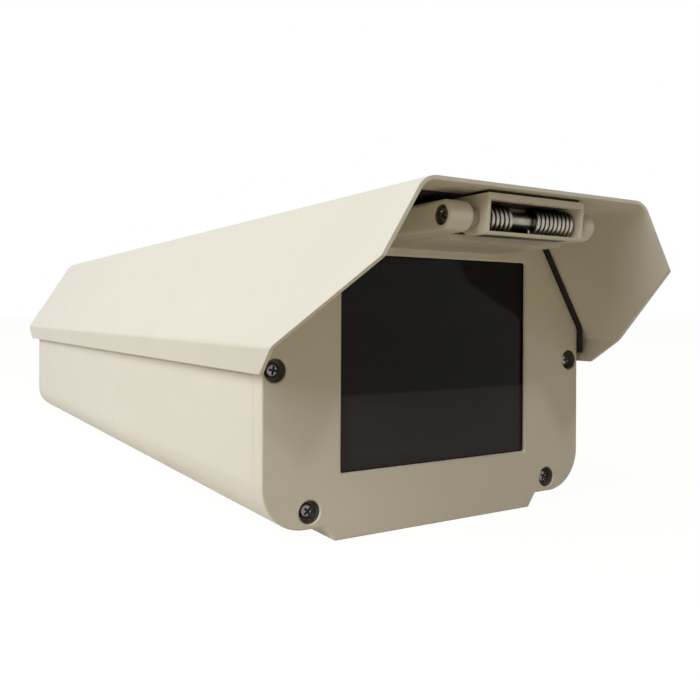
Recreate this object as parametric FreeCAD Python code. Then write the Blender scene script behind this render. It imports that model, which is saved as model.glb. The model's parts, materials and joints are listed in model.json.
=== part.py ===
import FreeCAD, Part
import math
import os

# Outdoor camera housing: an extruded trough closed by two end plates, under a folded lid
# that opens on a sprung hinge at the front.
# Millimetres. X runs across, Y runs back from the window, Z runs up from the foot.
# Every depth below is measured back from the front plate's face.

# Section of the trough and the end plates
BODY_HALF = 85.0
FOOT_SETBACK = 32.3
FOOT_FLARE = 4.3
FOOT_HEIGHT = 6.2
FOOT_ROUND = 0.8
BODY_CORNER = 18.5
SHOULDER_Z = 83.5
SHOULDER_ANGLE = 58.0
SHOULDER_ROUND = 8.0
PLATE_TOP_ROUND = 8.0
BODY_WALL = 3.0
BODY_LENGTH = 466.0
TROUGH_LIP_RISE = 10.0

# Lid
LID_TOP = 135.9
LID_WALL = 1.5
LID_FRONT_OVERHANG = 60.7
LID_REAR_OVERHANG = 12.0
LID_TOP_BEND = 9.0
LID_FLANK_BEND = 3.0
LID_FLANK_DROP = 5.1
SKIRT_DROP = 15.9
SKIRT_INSET = 2.4
HOOD_CUT_DROP = 27.6
HOOD_CUT_END = 5.8

# Seals
ARCH_SEAL = 0.8
TOP_SEAL = 2.6
ARCH_SEAL_GAP = 0.3
ARCH_SEAL_WIDTH = 8.0
ARCH_SEAL_PROUD = 2.6
ARCH_SEAL_DROP = 11.7
SIDE_SEAL_RISE = 2.1
SIDE_SEAL_HEIGHT = 7.5
END_GASKET = 1.0
END_GASKET_SETBACK = 1.0
END_GASKET_PLAY = 0.1

# End plates
PLATE_THICK = 8.0
PLATE_EDGE = 0.8
UPPER_SCREW_INSET = 5.6
UPPER_SCREW_DROP = 15.1
LOWER_SCREW_INSET = 20.7
LOWER_SCREW_Z = 12.9
SEAT_RADIUS = 4.6
SEAT_DEPTH = 4.2
SEAT_CHAMFER = 0.5
SCREW_BOSS = 4.4

# Window
WINDOW_SIDE_MARGIN = 35.0
WINDOW_BOTTOM = 26.4
WINDOW_TOP_MARGIN = 21.6
WINDOW_CORNER = 1.2
WINDOW_EDGE = 0.8
WINDOW_LIP = 1.6
WINDOW_REBATE = 5.0
WINDOW_GASKET = 0.7
GASKET_OVERLAP = 4.0
GLASS_GAP = 0.2
RETAINER_THICK = 1.5
RETAINER_MARGIN = 5.0
RETAINER_TOP_CUT = 8.0
RETAINER_BOTTOM_CUT = 4.0
RETAINER_SCREW_INSET = 2.5

# Hinge at the front
PIN_BACK = -48.5
PIN_BELOW_LID = 10.9
PIN_RADIUS = 3.0
PIN_IN_ARM = 2.5
FIXED_FIT = 0.03
RUNNING_FIT = 0.06
ARM_RADIUS = 5.6
ARM_FROM_BOX = 3.6
LEFT_ARM_THICK = 11.0
RIGHT_ARM_THICK = 6.6
ARM_EDGE = 1.8
ARM_SEAT_RADIUS = 3.7
ARM_SEAT_DEPTH = 2.6
SHELF_THICK = 2.4
SHELF_FROM_PIN = 8.0
SHELF_BELOW_PIN = 5.2
SHELF_IN_ARM = 1.0
BOX_HALF = 24.4
BOX_WALL = 1.5
BOX_CHEEK = 1.3
BOX_ABOVE_PIN = 8.2
BOX_BELOW_PIN = 6.4
BOX_FRONT = 8.5
BOX_FRONT_LEAN = 1.2
BOX_FRONT_ROUND = 2.5
BOX_REAR = 7.8
BOX_RIB_REAR = 13.0
BOX_RIB_BELOW_TOP = 5.6
BOX_SCREW_X = 14.0
BOX_SCREW_FROM_PIN = 10.0
BOX_GASKET_SETBACK = 1.5
SPACER_RADIUS = 3.8
SPACER_PLAY = 0.3

# Torsion springs
SPRING_WIRE = 0.75
SPRING_RADIUS = 4.8
SPRING_PITCH = 2.2
LEFT_SPRING_TURNS = 5.5
RIGHT_SPRING_TURNS = 8.5
SPRING_FROM_CHEEK = 0.5
SPRING_LEG = 6.0
COIL_STEPS = 12
WIRE_SIDES = 6

# Captive lid screws at the rear
LID_SCREW_FROM_FLANK = 25.32
LID_SCREW_FROM_REAR = 14.0
LID_SCREW_RADIUS = 2.5
LID_SCREW_PLAY = 0.3
LID_SCREW_HEAD = 4.6
LID_SCREW_HEAD_HEIGHT = 3.4
LID_SCREW_ENGAGED = 8.0
LID_SCREW_WASHER = 1.0
WASHER_RADIUS = 6.0
CLIP_THICK = 0.8
CLIP_RADIUS = 4.4
LUG_RADIUS = 6.0
LUG_DEPTH = 12.0

# Fasteners
PLATE_SCREW_RADIUS = 1.6
PLATE_SCREW_LENGTH = 16.0
PLATE_SCREW_HEAD = 3.0
PLATE_SCREW_HEAD_HEIGHT = 2.2
SMALL_SCREW_RADIUS = 1.25
SMALL_SCREW_HEAD = 2.4
SMALL_SCREW_HEAD_HEIGHT = 1.6
SMALL_SCREW_LENGTH = 5.0
PIN_SCREW_RADIUS = 1.9
PIN_SCREW_HEAD = 3.3
PIN_SCREW_HEAD_HEIGHT = 1.8
PIN_SCREW_LENGTH = 9.0
BOX_SCREW_RADIUS = 2.0
BOX_SCREW_HEAD = 3.6
THREAD_PLAY = 0.03
HOLE_PLAY = 0.25
BORE_SPARE = 1.0

# Camera tray and its rails
RAIL_INSET = 6.7
RAIL_WIDTH = 4.0
RAIL_TOP = 16.0
TRAY_THICK = 2.0
TRAY_SIDE_MARGIN = 28.5
TRAY_EDGE_HEIGHT = 7.0
TRAY_START = 40.0
TRAY_REAR_MARGIN = 46.0
TRAY_BEND = 2.5
TRAY_SCREW_INSET = 25.0
TRAY_SLOT_LENGTH = 160.0
CAMERA_SCREW_RADIUS = 3.1
CAMERA_SCREW_LENGTH = 9.0
CAMERA_SCREW_FROM_START = 170.0
CAMERA_KNOB_RADIUS = 9.0
CAMERA_KNOB_HEIGHT = 4.5
CAMERA_KNOB_FLUTES = 16
FLUTE_RADIUS = 0.7
CAMERA_WASHER = 1.0

# Bracket bolts through the foot
BRACKET_BOLT_RADIUS = 3.2
BRACKET_SPACING_Y = 100.0
BRACKET_INSET = 10.0
NUT_STRIP_THICK = 5.0
NUT_STRIP_GAP = 4.0
NUT_STRIP_MARGIN = 15.0

# Cable glands in the rear plate
GLAND_SPACING = 40.0
GLAND_COUNT = 3
GLAND_Z = 52.0
GLAND_THREAD = 8.0
GLAND_BORE = 5.6
GLAND_HEX = 10.8
GLAND_FLANGE = 4.0
GLAND_SLEEVE = 7.0
GLAND_INSIDE = 8.0
GLAND_DOME_RADIUS = 9.4
GLAND_DOME_LENGTH = 14.0
GLAND_DOME_WALL = 1.8
GLAND_MOUTH = 5.2
LOCKNUT_THICK = 4.0
CABLE_RADIUS = 4.0

# Overshoot of cutting tools, and the shortest edge worth drawing
SPARE = 1.0
TINY = 1e-6

# FreeCAD's number for a sweep whose straight runs meet in mitres
MITRED_CORNERS = 1


def vector(x, y, z):
    return FreeCAD.Vector(x, y, z)


AXES = {"X": vector(1, 0, 0), "Y": vector(0, 1, 0), "Z": vector(0, 0, 1)}


# Outlines: lists of (first, second, corner radius)

def on_plane(axis, depth, first, second):
    """A point of an outline drawn across the given axis."""
    places = {"X": (depth, first, second), "Y": (first, depth, second), "Z": (first, second, depth)}
    return vector(*places[axis])


def rounded_corner(before, here, after):
    """The points where a corner's arc starts, turns and ends, or just the sharp corner."""
    x, y, radius = here
    if radius < TINY:
        return [(x, y)]
    into = math.atan2(before[1] - y, before[0] - x)
    out = math.atan2(after[1] - y, after[0] - x)
    half = math.acos(math.cos(into - out)) / 2
    run = radius / math.tan(half)
    bisector = math.atan2(math.sin(into) + math.sin(out), math.cos(into) + math.cos(out))
    reach = radius / math.sin(half) - radius
    steps = [(into, run), (bisector, reach), (out, run)]
    return [(x + d * math.cos(a), y + d * math.sin(a)) for a, d in steps]


def outline_wire(outline, axis, depth):
    """Closed wire of an outline, with its corners rounded."""
    count = len(outline)
    corners = [rounded_corner(outline[i - 1], outline[i], outline[(i + 1) % count]) for i in range(count)]
    edges = []
    for i, corner in enumerate(corners):
        here = [on_plane(axis, depth, *point) for point in corner]
        following = on_plane(axis, depth, *corners[(i + 1) % count][0])
        if len(here) == 3:
            edges.append(Part.Arc(*here).toShape())
        if here[-1].distanceToPoint(following) > TINY:
            edges.append(Part.makeLine(here[-1], following))
    return Part.Wire(edges)


def prism(outline, axis, start, end):
    """Solid between two places on an axis."""
    face = Part.Face(outline_wire(outline, axis, start))
    return face.extrude(AXES[axis] * (end - start))


def inset(outline, distance):
    """The outline with every side moved inwards; rounded corners stay concentric."""
    count = len(outline)
    moved = []
    for i in range(count):
        before, here, after = outline[i - 1], outline[i], outline[(i + 1) % count]
        first = math.atan2(here[1] - before[1], here[0] - before[0])
        second = math.atan2(after[1] - here[1], after[0] - here[0])
        share = distance / (1 + math.cos(first - second))
        x = here[0] - (math.sin(first) + math.sin(second)) * share
        y = here[1] + (math.cos(first) + math.cos(second)) * share
        turn = 1 if math.sin(second - first) > 0 else -1
        radius = max(here[2] - turn * distance, 0.0) if here[2] > TINY else 0.0
        moved.append((x, y, radius))
    return moved


def mirrored(half):
    """A whole outline from its right half, listed from the bottom up."""
    return half + [(-x, z, radius) for x, z, radius in reversed(half)]


def rectangle(low_x, low_y, high_x, high_y, radius=0.0):
    corners = [(low_x, low_y), (high_x, low_y), (high_x, high_y), (low_x, high_y)]
    return [(x, y, radius) for x, y in corners]


# Round bodies and placing

def cylinder(radius, axis, start, end, centre):
    """Cylinder between two places on an axis; centre holds its other two coordinates."""
    base = on_plane(axis, start, *centre)
    return Part.makeCylinder(radius, end - start, base, AXES[axis])


def ring(outer, inner, axis, start, end, centre):
    return cylinder(outer, axis, start, end, centre).cut(cylinder(inner, axis, start, end, centre))


def hexagon(corner_radius, start, end):
    """Hexagonal prism along Z."""
    sides = 6
    turns = [2 * math.pi * k / sides for k in range(sides)]
    outline = [(corner_radius * math.cos(a), corner_radius * math.sin(a), 0.0) for a in turns]
    return prism(outline, "Z", start, end)


def turned(outline):
    """Solid of revolution about Z from an outline of (radius, height, corner radius)."""
    face = Part.Face(outline_wire(outline, "Y", 0.0))
    return face.revolve(vector(0, 0, 0), AXES["Z"], 360)


def aimed(shape, place, direction):
    """The shape with its own +Z turned to a direction and its origin moved to a place."""
    rotation = FreeCAD.Rotation(AXES["Z"], direction)
    shape = shape.copy()
    shape.Placement = FreeCAD.Placement(place, rotation).multiply(shape.Placement)
    return shape


def box_cut(low, high):
    return Part.makeBox(high[0] - low[0], high[1] - low[1], high[2] - low[2], vector(*low))


def fused(shapes):
    shape = shapes[0].fuse(shapes[1:]) if len(shapes) > 1 else shapes[0]
    return shape.removeSplitter()


def group(shapes):
    return Part.makeCompound(shapes)


def cross_recess(radius, depth):
    """Two crossed slots sunk below z = 0, as a cutting tool."""
    blade = radius * 0.24
    arm = radius * 0.62
    across = box_cut((-arm, -blade, -depth), (arm, blade, SPARE))
    return across.fuse(box_cut((-blade, -arm, -depth), (blade, arm, SPARE)))


def pan_screw(head_radius, head_height, radius, length):
    """Pan-head screw with a crossed recess. The underside of the head is at z = 0, the head above."""
    crown = head_height / 2
    rim = head_height - crown
    head = Part.makeCylinder(head_radius, rim)
    head = head.fuse(Part.makeCone(head_radius, head_radius - crown, crown, vector(0, 0, rim)))
    shank = Part.makeCylinder(radius, length, vector(0, 0, -length))
    recess = cross_recess(head_radius, head_height * 0.55).translated(vector(0, 0, head_height))
    return fused([head, shank]).cut(recess)


# Sizes that follow from those above

REAR = BODY_LENGTH
FOOT_HALF = BODY_HALF - FOOT_SETBACK
TROUGH_START = PLATE_THICK
TROUGH_END = REAR - PLATE_THICK
TROUGH_LIP_Z = SHOULDER_Z + TROUGH_LIP_RISE

LID_FRONT = -LID_FRONT_OVERHANG
LID_REAR = REAR + LID_REAR_OVERHANG
LID_STANDOFF = LID_WALL + ARCH_SEAL + ARCH_SEAL_GAP
LID_UNDERSIDE = LID_TOP - LID_WALL
LID_FLANK_END_Z = SHOULDER_Z - LID_FLANK_DROP
SKIRT_BOTTOM = SHOULDER_Z - SKIRT_DROP
HOOD_CUT_TOP_Z = LID_TOP - HOOD_CUT_DROP
PLATE_TOP = LID_UNDERSIDE - ARCH_SEAL_GAP - TOP_SEAL
SEAL_TOP = LID_UNDERSIDE - ARCH_SEAL_GAP - ARCH_SEAL
ARCH_SEAL_BOTTOM = SHOULDER_Z - ARCH_SEAL_DROP
SIDE_SEAL_BOTTOM = SHOULDER_Z + SIDE_SEAL_RISE

UPPER_SCREW = (BODY_HALF - UPPER_SCREW_INSET, SHOULDER_Z - UPPER_SCREW_DROP)
LOWER_SCREW = (BODY_HALF - LOWER_SCREW_INSET, LOWER_SCREW_Z)
WINDOW_HALF = BODY_HALF - WINDOW_SIDE_MARGIN
WINDOW_TOP = LID_TOP - WINDOW_TOP_MARGIN

PIN_Z = LID_TOP - PIN_BELOW_LID
PIN_CENTRE = (PIN_BACK, PIN_Z)
SHELF_FRONT = PIN_BACK + SHELF_FROM_PIN
BOX_TOP = PIN_Z + BOX_ABOVE_PIN
ARM_INNER = BOX_HALF + ARM_FROM_BOX
PIN_END = ARM_INNER + PIN_IN_ARM
LID_SCREW_BACK = REAR - LID_SCREW_FROM_REAR

RAIL_X = FOOT_HALF - RAIL_INSET
TRAY_TOP = RAIL_TOP + TRAY_THICK
TRAY_HALF = BODY_HALF - TRAY_SIDE_MARGIN
TRAY_END = REAR - TRAY_REAR_MARGIN
CAMERA_SCREW_BACK = TRAY_START + CAMERA_SCREW_FROM_START
NUT_STRIP_HALF = RAIL_X - RAIL_WIDTH / 2 - NUT_STRIP_GAP

GLAND_END = REAR + GLAND_FLANGE + GLAND_DOME_LENGTH
ROW_SHIFT = -(LID_FRONT + GLAND_END) / 2


def shoulder_x(z):
    """Half width of the plates at a height on their sloping shoulders."""
    return BODY_HALF - (z - SHOULDER_Z) / math.tan(math.radians(SHOULDER_ANGLE))


def flank_x(z):
    """Half width over the lid's sloping flanks at a height."""
    return shoulder_x(z) + LID_STANDOFF / math.sin(math.radians(SHOULDER_ANGLE))


def lid_screw_x():
    """Distance from the middle to each of the lid's rear screws."""
    return flank_x(LID_TOP) - LID_SCREW_FROM_FLANK


def body_outline(top=PLATE_TOP):
    """Outline of the end plates, from the foot round to the foot."""
    return mirrored([
        (FOOT_HALF, 0.0, FOOT_ROUND),
        (FOOT_HALF + FOOT_FLARE, FOOT_HEIGHT, FOOT_ROUND),
        (BODY_HALF, FOOT_HEIGHT, BODY_CORNER),
        (BODY_HALF, SHOULDER_Z, SHOULDER_ROUND),
        (shoulder_x(top), top, PLATE_TOP_ROUND),
    ])


def lid_outline():
    """Outer outline of the lid, closed across below its skirts."""
    low = SKIRT_BOTTOM - 2 * LID_WALL
    lean = SKIRT_INSET / (LID_FLANK_END_Z - SKIRT_BOTTOM)
    edge = flank_x(LID_FLANK_END_Z)
    return mirrored([
        (edge - lean * (LID_FLANK_END_Z - low), low, 0.0),
        (edge, LID_FLANK_END_Z, LID_FLANK_BEND),
        (flank_x(LID_TOP), LID_TOP, LID_TOP_BEND),
    ])


def screw_places():
    """The four screws of an end plate, as (x, z)."""
    right = [UPPER_SCREW, LOWER_SCREW]
    return right + [(-x, z) for x, z in right]


def window_outline(margin, radius=WINDOW_CORNER):
    """The window's opening, widened by a margin."""
    return rectangle(-WINDOW_HALF - margin, WINDOW_BOTTOM - margin,
                     WINDOW_HALF + margin, WINDOW_TOP + margin, radius)


# Trough

def trough_section(start, end, setback=0.0, play=0.0):
    """Open section of the trough, with a boss for each of the end plates' screws.

    The setback moves its outer edge inwards, and the play widens it all round."""
    shell = prism(inset(body_outline(), setback - play), "Y", start, end)
    shell = shell.cut(prism(inset(body_outline(), BODY_WALL + play), "Y", start - SPARE, end + SPARE))
    bosses = [cylinder(SCREW_BOSS + play, "Y", start, end, place) for place in screw_places()]
    section = fused([shell] + bosses)
    above = box_cut((-2 * BODY_HALF, start - SPARE, TROUGH_LIP_Z + play),
                    (2 * BODY_HALF, end + SPARE, LID_TOP + SPARE))
    return section.cut(above)


def rails(start, end):
    """Two ribs that stand on the foot's floor and carry the tray."""
    ribs = []
    for side in (-1, 1):
        middle = side * RAIL_X
        low = (middle - RAIL_WIDTH / 2, start, BODY_WALL / 2)
        ribs.append(box_cut(low, (middle + RAIL_WIDTH / 2, end, RAIL_TOP)))
    return ribs


def bracket_places():
    """The bracket's four bolts, as (x, y)."""
    half_x, half_y = NUT_STRIP_HALF - BRACKET_INSET, BRACKET_SPACING_Y / 2
    return [(x, REAR / 2 + y) for x in (-half_x, half_x) for y in (-half_y, half_y)]


def tray_screw_places():
    """The tray's four screws, as (x, y)."""
    ends = (TRAY_START + TRAY_SCREW_INSET, TRAY_END - TRAY_SCREW_INSET)
    return [(x, y) for x in (-RAIL_X, RAIL_X) for y in ends]


def body_trough():
    trough = fused([trough_section(TROUGH_START, TROUGH_END)] + rails(TROUGH_START, TROUGH_END))
    reach = PLATE_SCREW_LENGTH - (PLATE_THICK - SEAT_DEPTH) + BORE_SPARE
    bore = PLATE_SCREW_RADIUS + THREAD_PLAY
    tools = [cylinder(bore, "Y", TROUGH_START, TROUGH_START + reach, place) for place in screw_places()]
    tools += [cylinder(bore, "Y", TROUGH_END - reach, TROUGH_END, place) for place in screw_places()]
    tools += [cylinder(BRACKET_BOLT_RADIUS, "Z", -SPARE, BODY_WALL + SPARE, place)
              for place in bracket_places()]
    depth = SMALL_SCREW_LENGTH - TRAY_THICK + BORE_SPARE
    tools += [cylinder(SMALL_SCREW_RADIUS + THREAD_PLAY, "Z", RAIL_TOP - depth, RAIL_TOP, place)
              for place in tray_screw_places()]
    return trough.cut(tools)


def gasket_groove(start):
    """Cutting tool for an end plate's groove, which takes the gasket."""
    return trough_section(start, start + END_GASKET, END_GASKET_SETBACK, END_GASKET_PLAY)


def end_gasket(start):
    """Flat rubber gasket in an end plate's groove, against the trough's end."""
    gasket = trough_section(start, start + END_GASKET, END_GASKET_SETBACK)
    hole = PLATE_SCREW_RADIUS + HOLE_PLAY
    return gasket.cut([cylinder(hole, "Y", start, start + END_GASKET, place) for place in screw_places()])


# End plates

def plate_blank(face, back):
    """An end plate with a softened outer face; face and back are its two depths."""
    low, high = min(face, back), max(face, back)
    blank = prism(body_outline(), "Y", low, high)
    rim = [edge for edge in blank.Edges if abs(edge.BoundBox.YMin - face) < TINY
           and abs(edge.BoundBox.YMax - face) < TINY]
    return blank.makeFillet(PLATE_EDGE, rim)


def screw_seats(face, inward):
    """Cutting tools for the four screw seats; inward is +1 at the front and -1 at the rear."""
    tools = []
    for x, z in screw_places():
        seat = Part.makeCylinder(SEAT_RADIUS, SEAT_DEPTH + SPARE)
        hole = Part.makeCylinder(PLATE_SCREW_RADIUS + HOLE_PLAY, PLATE_THICK + 2 * SPARE)
        mouth = SEAT_CHAMFER + SPARE
        tool = seat.fuse([hole, Part.makeCone(SEAT_RADIUS + mouth, SEAT_RADIUS, mouth)])
        tools.append(aimed(tool, vector(x, face - inward * SPARE, z), AXES["Y"] * inward))
    return tools


def arm_outer(sign):
    """Distance from the middle to an arm's outer face."""
    return ARM_INNER + (LEFT_ARM_THICK if sign < 0 else RIGHT_ARM_THICK)


def hinge_arms():
    """The two arms and the shelf that joins them, cast with the front plate."""
    root = PLATE_THICK / 2
    low, high = PIN_Z - ARM_RADIUS, PIN_Z + ARM_RADIUS
    nose = PIN_BACK - ARM_RADIUS
    side = [(nose, low, ARM_RADIUS), (root, low, 0.0), (root, high, 0.0), (nose, high, ARM_RADIUS)]
    arms = []
    for sign in (-1, 1):
        start, end = sorted((sign * ARM_INNER, sign * arm_outer(sign)))
        arm = prism(side, "X", start, end)
        nose_rim = [edge for edge in arm.Edges if edge.BoundBox.XLength < TINY
                    and edge.BoundBox.YMax < PIN_BACK + TINY]
        arms.append(arm.makeFillet(ARM_EDGE, nose_rim))
    top = PIN_Z - SHELF_BELOW_PIN
    half = ARM_INNER + SHELF_IN_ARM
    shelf = box_cut((-half, SHELF_FRONT, top - SHELF_THICK), (half, root, top))
    return arms + [shelf]


def arm_bores():
    """Cutting tools for the pin's bore and the screw seat in each arm."""
    tools = []
    for sign in (-1, 1):
        spans = [(PIN_RADIUS + FIXED_FIT, ARM_INNER - SPARE, PIN_END),
                 (PIN_SCREW_RADIUS + HOLE_PLAY, PIN_END, arm_outer(sign)),
                 (ARM_SEAT_RADIUS, arm_outer(sign) - ARM_SEAT_DEPTH, arm_outer(sign) + SPARE)]
        for radius, near, far in spans:
            start, end = sorted((sign * near, sign * far))
            tools.append(cylinder(radius, "X", start, end, PIN_CENTRE))
    return tools


def retainer_outline(margin):
    """The retainer's outer outline, with its corners cut off."""
    side = WINDOW_HALF + WINDOW_REBATE + margin
    low, high = WINDOW_BOTTOM - WINDOW_REBATE - margin, WINDOW_TOP + WINDOW_REBATE + margin
    return mirrored([
        (side - RETAINER_BOTTOM_CUT, low, 0.0), (side, low + RETAINER_BOTTOM_CUT, 0.0),
        (side, high - RETAINER_TOP_CUT, 0.0), (side - RETAINER_TOP_CUT, high, 0.0),
    ])


def retainer_screw_places():
    """The retainer's six screws, as (x, z)."""
    side = WINDOW_HALF + WINDOW_REBATE + RETAINER_SCREW_INSET
    low = WINDOW_BOTTOM - WINDOW_REBATE - RETAINER_SCREW_INSET
    high = WINDOW_TOP + WINDOW_REBATE + RETAINER_SCREW_INSET
    middle = (WINDOW_BOTTOM + WINDOW_TOP) / 2
    right = [(side, middle), (WINDOW_HALF / 2, low), (WINDOW_HALF / 2, high)]
    return right + [(-x, z) for x, z in right]


def retainer_reach():
    """How far the retainer's screws go into the plate."""
    return SMALL_SCREW_LENGTH - RETAINER_THICK


def front_plate():
    plate = fused([plate_blank(0.0, PLATE_THICK)] + hinge_arms())
    opening = prism(window_outline(0.0), "Y", -SPARE, PLATE_THICK + SPARE)
    rebate = prism(window_outline(WINDOW_REBATE), "Y", WINDOW_LIP, PLATE_THICK + SPARE)
    depth = retainer_reach() + BORE_SPARE
    threads = [cylinder(SMALL_SCREW_RADIUS + THREAD_PLAY, "Y", PLATE_THICK - depth, PLATE_THICK, place)
               for place in retainer_screw_places()]
    groove = gasket_groove(PLATE_THICK - END_GASKET)
    plate = plate.cut([opening, rebate, groove] + screw_seats(0.0, 1) + arm_bores() + threads)
    rim = [edge for edge in plate.Edges if abs(edge.BoundBox.YMin) < TINY and abs(edge.BoundBox.YMax) < TINY
           and edge.BoundBox.ZMax < WINDOW_TOP + TINY and edge.BoundBox.ZMin > WINDOW_BOTTOM - TINY
           and edge.BoundBox.XMax < WINDOW_HALF + TINY and edge.BoundBox.XMin > -WINDOW_HALF - TINY]
    return plate.makeChamfer(WINDOW_EDGE, rim)


def plate_screws(face, inward):
    """The four pan-head screws of an end plate, as one group."""
    screw = pan_screw(PLATE_SCREW_HEAD, PLATE_SCREW_HEAD_HEIGHT, PLATE_SCREW_RADIUS, PLATE_SCREW_LENGTH)
    seat = face + inward * SEAT_DEPTH
    return group([aimed(screw, vector(x, seat, z), AXES["Y"] * -inward) for x, z in screw_places()])


def rear_plate():
    """Rear plate with the gland holes and the two lugs that take the lid screws."""
    lugs = []
    for x in (-lid_screw_x(), lid_screw_x()):
        lugs.append(cylinder(LUG_RADIUS, "Z", PLATE_TOP - LUG_DEPTH, PLATE_TOP, (x, LID_SCREW_BACK)))
        lugs.append(box_cut((x - LUG_RADIUS, LID_SCREW_BACK, PLATE_TOP - LUG_DEPTH),
                            (x + LUG_RADIUS, REAR - PLATE_THICK / 2, PLATE_TOP)))
    plate = fused([plate_blank(REAR, REAR - PLATE_THICK)] + lugs)
    bore = LID_SCREW_RADIUS + LID_SCREW_PLAY
    low = PLATE_TOP - LID_SCREW_ENGAGED - BORE_SPARE
    holes = [cylinder(bore, "Z", low, PLATE_TOP + SPARE, (x, LID_SCREW_BACK))
             for x in (-lid_screw_x(), lid_screw_x())]
    holes += [cylinder(GLAND_THREAD + THREAD_PLAY, "Y", REAR - PLATE_THICK - SPARE, REAR + SPARE,
                       (x, GLAND_Z)) for x in gland_places()]
    return plate.cut(holes + screw_seats(REAR, -1) + [gasket_groove(TROUGH_END)])


# Seals

def arch_seal(start):
    """Rubber strip over an end plate, under the lid: thicker on top, and proud of the plate's face."""
    end = start + ARCH_SEAL_WIDTH
    strip = prism(inset(body_outline(SEAL_TOP), -ARCH_SEAL), "Y", start, end)
    strip = strip.cut(prism(body_outline(), "Y", start, end))
    below = box_cut((-2 * BODY_HALF, start - SPARE, -2 * SPARE - ARCH_SEAL),
                    (2 * BODY_HALF, end + SPARE, ARCH_SEAL_BOTTOM))
    return strip.cut(below)


def side_seal(sign):
    """Rubber strip along one shoulder of the trough."""
    strip = prism(inset(body_outline(), -ARCH_SEAL), "Y", TROUGH_START, TROUGH_END)
    strip = strip.cut(prism(body_outline(), "Y", TROUGH_START, TROUGH_END))
    inner, outer = sorted((0.0, sign * 2 * BODY_HALF))
    top = SIDE_SEAL_BOTTOM + SIDE_SEAL_HEIGHT
    return strip.common(box_cut((inner, TROUGH_START, SIDE_SEAL_BOTTOM), (outer, TROUGH_END, top)))


# Window

def glass_back():
    """Depth of the glass's rear face."""
    return PLATE_THICK - WINDOW_GASKET


def window_glass():
    margin = WINDOW_REBATE - WINDOW_GASKET - GLASS_GAP
    return prism(window_outline(margin), "Y", WINDOW_LIP + WINDOW_GASKET, glass_back())


def window_gasket():
    """Rubber channel round the glass's edge."""
    outside = prism(window_outline(WINDOW_REBATE), "Y", WINDOW_LIP, PLATE_THICK)
    channel = window_outline(WINDOW_REBATE - WINDOW_GASKET)
    groove = prism(channel, "Y", WINDOW_LIP + WINDOW_GASKET, glass_back())
    hollow = prism(window_outline(WINDOW_REBATE - GASKET_OVERLAP), "Y", 0.0, PLATE_THICK + SPARE)
    return outside.cut([groove, hollow])


def window_retainer():
    """Steel frame that holds the glass from behind."""
    start, end = PLATE_THICK, PLATE_THICK + RETAINER_THICK
    frame = prism(retainer_outline(RETAINER_MARGIN), "Y", start, end)
    hole = SMALL_SCREW_RADIUS + HOLE_PLAY
    holes = [cylinder(hole, "Y", start, end, place) for place in retainer_screw_places()]
    return frame.cut([prism(window_outline(0.0), "Y", start - SPARE, end + SPARE)] + holes)


def retainer_screws():
    screw = pan_screw(SMALL_SCREW_HEAD, SMALL_SCREW_HEAD_HEIGHT, SMALL_SCREW_RADIUS, SMALL_SCREW_LENGTH)
    back = PLATE_THICK + RETAINER_THICK
    return group([aimed(screw, vector(x, back, z), AXES["Y"]) for x, z in retainer_screw_places()])


# Lid

def hood_cut():
    """Cutting tool for the slanted front ends of the flanks."""
    front = LID_FRONT - SPARE
    lean = (HOOD_CUT_TOP_Z - SKIRT_BOTTOM) / (HOOD_CUT_END - LID_FRONT_OVERHANG)
    low = SKIRT_BOTTOM - SPARE
    side = [(LID_FRONT, HOOD_CUT_TOP_Z, 0.0), (front, HOOD_CUT_TOP_Z, 0.0), (front, low, 0.0),
            (-HOOD_CUT_END - SPARE / lean, low, 0.0)]
    return prism(side, "X", -2 * BODY_HALF, 2 * BODY_HALF)


def lid_screw_places():
    return [(-lid_screw_x(), LID_SCREW_BACK), (lid_screw_x(), LID_SCREW_BACK)]


def box_screw_places():
    back = PIN_BACK + BOX_SCREW_FROM_PIN
    return [(-BOX_SCREW_X, back), (BOX_SCREW_X, back)]


def countersunk(radius, head_radius, height):
    """Countersunk head above a shank's hole, as a cone that ends at z = 0 on top."""
    return Part.makeCone(radius, head_radius, height, vector(0, 0, -height))


def lid_cover():
    outer = prism(lid_outline(), "Y", LID_FRONT, LID_REAR)
    inner = prism(inset(lid_outline(), LID_WALL), "Y", LID_FRONT - SPARE, LID_REAR + SPARE)
    below = box_cut((-2 * BODY_HALF, LID_FRONT - SPARE, 0.0),
                    (2 * BODY_HALF, LID_REAR + SPARE, SKIRT_BOTTOM))
    holes = [cylinder(LID_SCREW_RADIUS + LID_SCREW_PLAY, "Z", LID_UNDERSIDE - SPARE, LID_TOP + SPARE, place)
             for place in lid_screw_places()]
    sinks = [countersunk(BOX_SCREW_RADIUS, BOX_SCREW_HEAD, LID_WALL).translated(vector(x, y, LID_TOP))
             for x, y in box_screw_places()]
    return outer.cut([inner, below, hood_cut()] + holes + sinks)


# Hinge

def box_side():
    """Side outline of the hinge box: a leaning front, rounded off below, and an upright rear."""
    front = PIN_BACK - BOX_FRONT
    rear = PIN_BACK + BOX_REAR
    low = PIN_Z - BOX_BELOW_PIN
    return [(front + BOX_FRONT_LEAN, low, BOX_FRONT_ROUND), (rear, low, BOX_BELOW_PIN),
            (rear, BOX_TOP, 0.0), (front, BOX_TOP, 0.0)]


def box_hollow():
    """Side outline of the hinge box's hollow, which is open in front and below the springs."""
    front = PIN_BACK - BOX_FRONT - SPARE
    rear = PIN_BACK + BOX_REAR - BOX_WALL
    return rectangle(front, PIN_Z - BOX_BELOW_PIN - SPARE, rear, BOX_TOP - BOX_WALL)


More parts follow.
